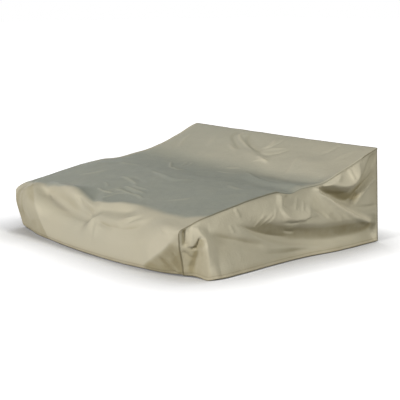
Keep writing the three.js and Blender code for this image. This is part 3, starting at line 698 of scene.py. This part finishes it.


# painted shade and highlight of each panel, and the painted shade of the top
top_painted_shading = painted_shading_in_folds(top, TOP_FOLDS + TOP_CREASES, top_x, top_along, TOP_PAINTED_SHADING)
right_painted_shading = painted_shading_in_folds(right, RIGHT_FOLDS + RIGHT_CREASES, right[..., 1], right[..., 2], RIGHT_PAINTED_SHADING)
left_painted_shading = painted_shading_in_folds(left, LEFT_FOLDS, left[..., 1], left[..., 2])
back_painted_shading = painted_shading_in_folds(back, BACK_FOLDS, back[..., 0], back[..., 2])
top_panel_painted_shade = painted_top_shade_of(folds_rise(TOP_CREASES, top_x, top_along))

top_seam = seam_distance(wide_top) + slack(rows_along)
top_seam[: len(top_seam) // 2] += SLACK_FADE * ramp(rows_along, *FAR_CORNER_SLACK)
side_slack = slack(rows_along[FRONT_CELLS:])[:, None]


# The meshes.
def placed(name, data):
    """A new object, put in the scene."""
    obj = bpy.data.objects.new(name, data)
    scene.collection.objects.link(obj)
    return obj


def arc_lengths(points, axis):
    """Distances over the cloth from the first point of each line, in metres."""
    steps = np.linalg.norm(np.diff(points, axis=axis), axis=2)
    zero = np.zeros_like(np.take(steps, [0], axis=axis))
    return np.concatenate([zero, np.cumsum(steps, axis=axis)], axis=axis) / 1000


def sheet_faces(columns, rows):
    """The quads of a closed sheet, outside, inside and rim, and how many of them are the rim's."""
    count = columns * rows
    at = np.arange(count).reshape(columns, rows)
    quads = np.stack([at[:-1, :-1], at[1:, :-1], at[1:, 1:], at[:-1, 1:]], axis=2).reshape(-1, 4)
    under = quads[:, ::-1] + count
    rim = np.concatenate([at[:, 0], at[-1, 1:], at[-2::-1, -1], at[0, -2:0:-1]])
    onward = np.roll(rim, -1)
    edge = np.stack([rim + count, onward + count, onward, rim], axis=1)
    return np.concatenate([quads, under, edge]), len(edge)


def sheet_object(name, outer, sink, seam, painted_shading, painted_top_shade=None):
    """Closes a grid of outer points into one thin sheet. sink moves its edges under the panels over them.
    seam is each point's distance from the nearest sewn edge, which the material shades."""
    normal = normals_of(outer)
    outer = outer + sink
    inner = outer - normal * THICKNESS
    verts = (np.concatenate([outer.reshape(-1, 3), inner.reshape(-1, 3)]) + TO_FRAME) / 1000
    faces, rim_count = sheet_faces(*outer.shape[:2])
    mesh = bpy.data.meshes.new(name)
    mesh.from_pydata(verts.tolist(), [], faces.tolist())
    across, along = arc_lengths(outer, 0), arc_lengths(outer, 1)
    painted_top_shade = np.zeros_like(painted_shading) if painted_top_shade is None else painted_top_shade
    uv = mesh.uv_layers.new(name="cloth")
    loops = np.empty(len(mesh.loops), int)
    mesh.loops.foreach_get("vertex_index", loops)
    both = np.stack([across.ravel(), along.ravel()], axis=1)
    uv.data.foreach_set("uv", np.concatenate([both, both])[loops].ravel())
    # besides the distances from hem and seam, the material gets the painted shade and highlight, and the
    # painted shade of the top
    for label, values in (("hem", along), ("seam", seam / 1000), ("painted_shading", painted_shading), ("painted_top_shade", painted_top_shade)):
        layer = mesh.attributes.new(label, "FLOAT", "POINT")
        layer.data.foreach_set("value", np.concatenate([values.ravel(), values.ravel()]))
    mesh.polygons.foreach_set("use_smooth", [True] * (len(faces) - rim_count) + [False] * rim_count)
    mesh.validate()
    return placed(name, mesh)


pieces = {
    "top_panel": sheet_object("top_cloth", wide_top, np.zeros_like(wide_top), top_seam,
                              widened(top_painted_shading), widened(top_panel_painted_shade)),
    "right_panel": sheet_object("right_cloth", right, right_sink,
                                seam_distance(right) + side_slack, right_painted_shading),
    "left_panel": sheet_object("left_cloth", left, left_sink,
                               seam_distance(left) + side_slack[::-1], left_painted_shading),
    "back_panel": sheet_object("back_cloth", back, back_sink, seam_distance(back), back_painted_shading),
}


class NodeTree:
    """Adds nodes to a material or the world."""

    def __init__(self, owner):
        owner.use_nodes = True
        self.nodes = owner.node_tree.nodes
        self.links = owner.node_tree.links

    def fill(self, node, inputs):
        """Links each input to another node's output, or sets it to a number or a colour."""
        for key, value in inputs.items():
            if isinstance(value, bpy.types.NodeSocket):
                self.links.new(value, node.inputs[key])
            else:
                node.inputs[key].default_value = value

    def add(self, kind, inputs, **settings):
        made = self.nodes.new("ShaderNode" + kind)
        for key, value in settings.items():
            setattr(made, key, value)
        self.fill(made, inputs)
        return made

    def math(self, operation, *values):
        return self.add("Math", dict(enumerate(values)), operation=operation).outputs[0]

    def times(self, first, second):
        return self.math("MULTIPLY", first, second)

    def larger(self, first, second):
        return self.math("MAXIMUM", first, second)

    def attribute(self, name):
        return self.add("Attribute", {}, attribute_name=name).outputs["Fac"]

    def noise(self, place, scale, detail, roughness, spread=None):
        """A noise from 0 to 1, or spread: that times the first number, plus the second."""
        inputs = {"Vector": place, "Scale": scale, "Detail": detail, "Roughness": roughness}
        made = self.add("TexNoise", inputs).outputs["Fac"]
        return self.math("ADD", self.times(made, spread[0]), spread[1]) if spread else made

    def band(self, distance, centre, width):
        """1 at the centre of a band a given distance from an edge, falling to 0 at its sides."""
        off = self.math("ABSOLUTE", self.math("SUBTRACT", distance, centre))
        inputs = {"Value": off, "From Min": width / 2, "From Max": 0, "To Min": 0, "To Max": 1}
        return self.add("MapRange", inputs, interpolation_type="SMOOTHSTEP").outputs["Result"]

    def mixed(self, factor, first, second):
        """A mix of two colours."""
        made = self.add("Mix", {}, data_type="RGBA")
        sockets = [(i.name, i.type) for i in made.inputs]
        wanted = (("Factor", "VALUE"), ("A", "RGBA"), ("B", "RGBA"))
        self.fill(made, {sockets.index(w): value for w, value in zip(wanted, (factor, first, second))})
        return next(o for o in made.outputs if o.type == "RGBA")

    def shader_mix(self, factor, first, second):
        return self.add("MixShader", {0: factor, 1: first, 2: second}).outputs[0]

    def direct_rays(self):
        """1 for the rays that see a thing straight, reflected or through glass."""
        path = self.add("LightPath", {})
        seen = path.outputs["Is Camera Ray"]
        for ray in ("Is Glossy Ray", "Is Transmission Ray"):
            seen = self.larger(seen, path.outputs[ray])
        return seen


# The cloth's looks. Lengths are in metres. A noise is its scale, detail and roughness, and for some also
# what it is multiplied by and what is added to it.
CLOTH_GREY = (0.462, 0.441, 0.358, 1)
CLOTH_WARM = (0.53, 0.489, 0.378, 1)
CLOTH_DUST = (0.38, 0.32, 0.21, 1)
# painted shade, in folds and on cloth turned from the light
CLOTH_PAINTED_SHADE = (0.305, 0.268, 0.172, 1)
# painted highlight on ridge crests, and the paler turned hem
CLOTH_PALE = (0.62, 0.575, 0.455, 1)
# painted shade of the top, darker and greyer
CLOTH_TOP_SHADE = (0.310, 0.325, 0.286, 1)
# painted shadow lines under the seams' flanges and along the hem
CLOTH_SHADOW_LINE = (0.16, 0.14, 0.09, 1)
THREAD = (0.30, 0.27, 0.19, 1)
SPECULAR = 0.01
CLOUD_NOISE = (2.2, 3, 0.55)
DUST_NOISE = (9, 2, 0.5)
DUST_HEIGHT = 0.06  # above the hem's lower edge
DUST_STRENGTH = 0.9
# patches in the painted shade of folds, and the strength of the painted highlight
PAINTED_SHADE_NOISE = (12, 3, 0.6, (0.5, 0.35))
PAINTED_HIGHLIGHT_STRENGTH = 0.6
# patches in the painted shade of the top
TOP_SHADE_NOISE = (7, 4, 0.6, (0.5, 0.71))
HEM_HEIGHT = HEM / 1000
HEM_PALER = 0.12
HEM_BAND = 1.1  # its width, as a share of the hem's
# the painted shadow lines under the seams' flanges and at the hem's lower edge, and a fainter dark line at
# the top of the turned hem
SEAM_SHADE_AT = 0.005
SEAM_SHADE_WIDTH = 0.018
HEM_SHADE_WIDTH = 0.010
HEM_SHADE = 0.35  # as a share of the seam's
EDGE_SHADE_WIDTH = 0.016
SHADE_STRENGTH = 0.75
THREAD_PITCH = 0.0011  # from thread to thread
STITCH_LENGTH = 0.007
STITCH_WIDTH = 0.003
STITCH_ROWS = 0.006  # from one row of the hem's stitches to the other
STITCH_STRENGTH = 0.4
WEAVE_HEIGHT = 0.5
STITCH_HEIGHT = -2
FINE_BUMP = {"Strength": 0.35, "Distance": 0.0002}
WRINKLE_NOISE = (17, 5, 0.62)
WRINKLE_BUMP = {"Strength": 0.5, "Distance": 0.009}
ROUGH_NOISE = (14, 3, 0.6, (0.2, 0.42))


def weave(tree, across, along):
    """Warp and weft threads that pass over and under each other."""
    turn = math.tau / (2 * THREAD_PITCH)
    return tree.times(tree.math("SINE", tree.times(across, turn)), tree.math("SINE", tree.times(along, turn)))


def stitching(tree, across, hem):
    """Two rows of short dashes along the hem."""
    upper = tree.band(hem, HEM_HEIGHT, STITCH_WIDTH)
    lower = tree.band(hem, HEM_HEIGHT - STITCH_ROWS, STITCH_WIDTH)
    dash = tree.math("SINE", tree.times(across, math.tau / STITCH_LENGTH))
    dash = tree.times(tree.math("ADD", dash, 1), 0.5)
    return tree.times(tree.larger(upper, lower), dash)


def cloth_colour(tree, place, hem):
    """Taupe, a little uneven: dusty near the hem, with painted shade in its folds and painted highlight on
    its ridges, a painted shade that is greyer in patches where it faces the sky, and painted shadow lines
    along its seams and hem."""
    colour = tree.mixed(tree.noise(place, *CLOUD_NOISE), CLOTH_GREY, CLOTH_WARM)
    dust = tree.times(tree.band(hem, 0.0, 2 * DUST_HEIGHT), tree.noise(place, *DUST_NOISE))
    colour = tree.mixed(tree.times(dust, DUST_STRENGTH), colour, CLOTH_DUST)
    # painted shade in folds and painted highlight on ridges
    painted_shading = tree.attribute("painted_shading")
    painted_shade = tree.times(tree.larger(painted_shading, 0), tree.noise(place, *PAINTED_SHADE_NOISE))
    colour = tree.mixed(painted_shade, colour, CLOTH_PAINTED_SHADE)
    painted_highlight = tree.larger(tree.times(painted_shading, -1), 0)
    colour = tree.mixed(tree.times(painted_highlight, PAINTED_HIGHLIGHT_STRENGTH), colour, CLOTH_PALE)
    # painted shade of the top, darker and greyer
    painted_top_shade = tree.times(tree.attribute("painted_top_shade"), tree.noise(place, *TOP_SHADE_NOISE))
    colour = tree.mixed(tree.math("MINIMUM", painted_top_shade, 1), colour, CLOTH_TOP_SHADE)
    turned = tree.band(hem, HEM_HEIGHT / 2, HEM_HEIGHT * HEM_BAND)
    colour = tree.mixed(tree.times(turned, HEM_PALER), colour, CLOTH_PALE)
    # painted shadow lines under each seam's flange and at the hem's lower edge, and a fainter dark line along
    # the top of the turned hem
    by_seam = tree.band(tree.attribute("seam"), SEAM_SHADE_AT, SEAM_SHADE_WIDTH)
    by_hem = tree.times(tree.band(hem, HEM_HEIGHT, HEM_SHADE_WIDTH), HEM_SHADE)
    shade = tree.larger(tree.larger(by_seam, by_hem), tree.band(hem, 0.0, EDGE_SHADE_WIDTH))
    return tree.mixed(tree.times(shade, SHADE_STRENGTH), colour, CLOTH_SHADOW_LINE)


def cloth_material():
    """Coated polyester in a plain weave, with two rows of stitches along its hem."""
    material = bpy.data.materials.new("coated_cloth")
    tree = NodeTree(material)
    place = tree.add("TexCoord", {}).outputs["Object"]
    uv = tree.add("UVMap", {}, uv_map="cloth").outputs["UV"]
    across, along, _ = tree.add("SeparateXYZ", {0: uv}).outputs
    hem = tree.attribute("hem")
    stitches = stitching(tree, across, hem)
    colour = tree.mixed(tree.times(stitches, STITCH_STRENGTH), cloth_colour(tree, place, hem), THREAD)
    threads = tree.times(weave(tree, across, along), WEAVE_HEIGHT)
    height = tree.math("ADD", threads, tree.times(stitches, STITCH_HEIGHT))
    fine = tree.add("Bump", {"Height": height} | FINE_BUMP)
    wrinkles = {"Height": tree.noise(place, *WRINKLE_NOISE), "Normal": fine.outputs["Normal"]}
    coarse = tree.add("Bump", wrinkles | WRINKLE_BUMP)
    tree.fill(tree.nodes["Principled BSDF"], {
        "Specular IOR Level": SPECULAR,
        "Base Color": colour,
        "Roughness": tree.noise(place, *ROUGH_NOISE),
        "Normal": coarse.outputs["Normal"],
    })
    return material


cloth = cloth_material()
for node, piece in pieces.items():
    piece.data.materials.append(cloth)
    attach(piece, "root")
    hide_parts(node)

# Floor, light and camera, in metres and degrees. Azimuths run from the front towards the right. The
# floor lies just under the lowest fold of the hem.
FLOOR_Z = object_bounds()[0].z - 0.001
FLOOR_REACH = 60
FLOOR_GREY = (0.42, 0.42, 0.41, 1)
FLOOR_ROUGHNESS = 0.9
FLOOR_SHADOW = (0.62, 0.62, 0.64, 1)
# the floor's glow, which fades near the cover as a painted contact shadow
GLOW_LEVEL = 0.76
GLOW_REACH = 0.45  # how near the cover the floor's glow fades
GLOW_FALL = 3.0
GLOW_SAMPLES = 8
WHITE = (1, 1, 1, 1)
WORLD_TINT = (0.82, 0.91, 1.0, 1)
WORLD_LIGHT = 0.05
# Each lamp's azimuth, elevation, strength, size and colour.
LAMPS = {
    "front": (4, 14, 2.7, 9, (1.0, 0.975, 0.93)),
    "right": (97, 33, 1.68, 12, (1.0, 0.98, 0.89)),
    "overhead": (-150, 64, 0.12, 10, (0.85, 0.93, 1.0)),
    "left": (-112, 5, 1.15, 25, (1.0, 0.98, 0.95)),
    "behind": (205, 5, 1.25, 25, (0.98, 0.98, 1.0)),
}
CAMERA = {"azimuth": 49.61, "elevation": 10.51, "distance": 9.768, "lens": 99, "sensor": 36, "clip": 100}
LOOK_AT = Vector((-1.052, 0.949, cad_box[0].z))


def floor_material():
    """White to the camera, with the cover's shadow from the lamps and a painted contact shadow beside it, and
    pale grey to the light that it throws back.
    """
    material = bpy.data.materials.new("floor")
    tree = NodeTree(material)
    pale = tree.nodes["Principled BSDF"]
    tree.fill(pale, {"Base Color": FLOOR_GREY, "Roughness": FLOOR_ROUGHNESS})
    shadow = tree.add("BsdfDiffuse", {"Color": FLOOR_SHADOW})
    # The glow that makes the floor white fades close to the cover, which paints a soft contact shadow there.
    open_sky = tree.add("AmbientOcclusion", {"Distance": GLOW_REACH}, samples=GLOW_SAMPLES)
    fall = tree.math("POWER", open_sky.outputs["AO"], GLOW_FALL)
    glow = tree.add("Emission", {"Strength": tree.times(fall, GLOW_LEVEL)})
    both = tree.add("AddShader", {0: shadow.outputs[0], 1: glow.outputs[0]})
    surface = tree.shader_mix(tree.direct_rays(), pale.outputs[0], both.outputs[0])
    tree.fill(tree.nodes["Material Output"], {"Surface": surface})
    return material


def add_floor():
    mesh = bpy.data.meshes.new("floor")
    corners = [(-1, -1), (1, -1), (1, 1), (-1, 1)]
    mesh.from_pydata([(x * FLOOR_REACH, y * FLOOR_REACH, FLOOR_Z) for x, y in corners], [], [(0, 1, 2, 3)])
    mesh.materials.append(floor_material())
    floor = placed("floor", mesh)


def add_world():
    """White where it is seen, and a faint cool light on the cover."""
    world = bpy.data.worlds.new("studio")
    scene.world = world
    tree = NodeTree(world)
    sky = tree.nodes["Background"]
    tree.fill(sky, {"Color": WORLD_TINT, "Strength": WORLD_LIGHT})
    white = tree.add("Background", {"Color": WHITE})
    surface = tree.shader_mix(tree.direct_rays(), sky.outputs[0], white.outputs[0])
    tree.fill(tree.nodes["World Output"], {"Surface": surface})


def direction(azimuth, elevation):
    a, e = math.radians(azimuth), math.radians(elevation)
    return Vector((math.sin(a) * math.cos(e), -math.cos(a) * math.cos(e), math.sin(e)))


def add_sun(name, azimuth, elevation, strength, size, colour):
    data = bpy.data.lights.new(name, "SUN")
    data.energy = strength
    data.angle = math.radians(size)
    data.color = colour
    placed(name, data).rotation_euler = direction(azimuth, elevation).to_track_quat("Z", "Y").to_euler()


def add_camera():
    data = bpy.data.cameras.new("camera")
    data.sensor_width = CAMERA["sensor"]
    data.lens = CAMERA["lens"]
    data.clip_end = CAMERA["clip"]
    camera = placed("camera", data)
    away = direction(CAMERA["azimuth"], CAMERA["elevation"])
    camera.location = LOOK_AT + away * CAMERA["distance"]
    camera.rotation_euler = away.to_track_quat("Z", "Y").to_euler()
    scene.camera = camera


add_floor()
add_world()
for lamp_name, settings in LAMPS.items():
    add_sun(lamp_name, *settings)
add_camera()
scene.view_settings.view_transform = "Standard"
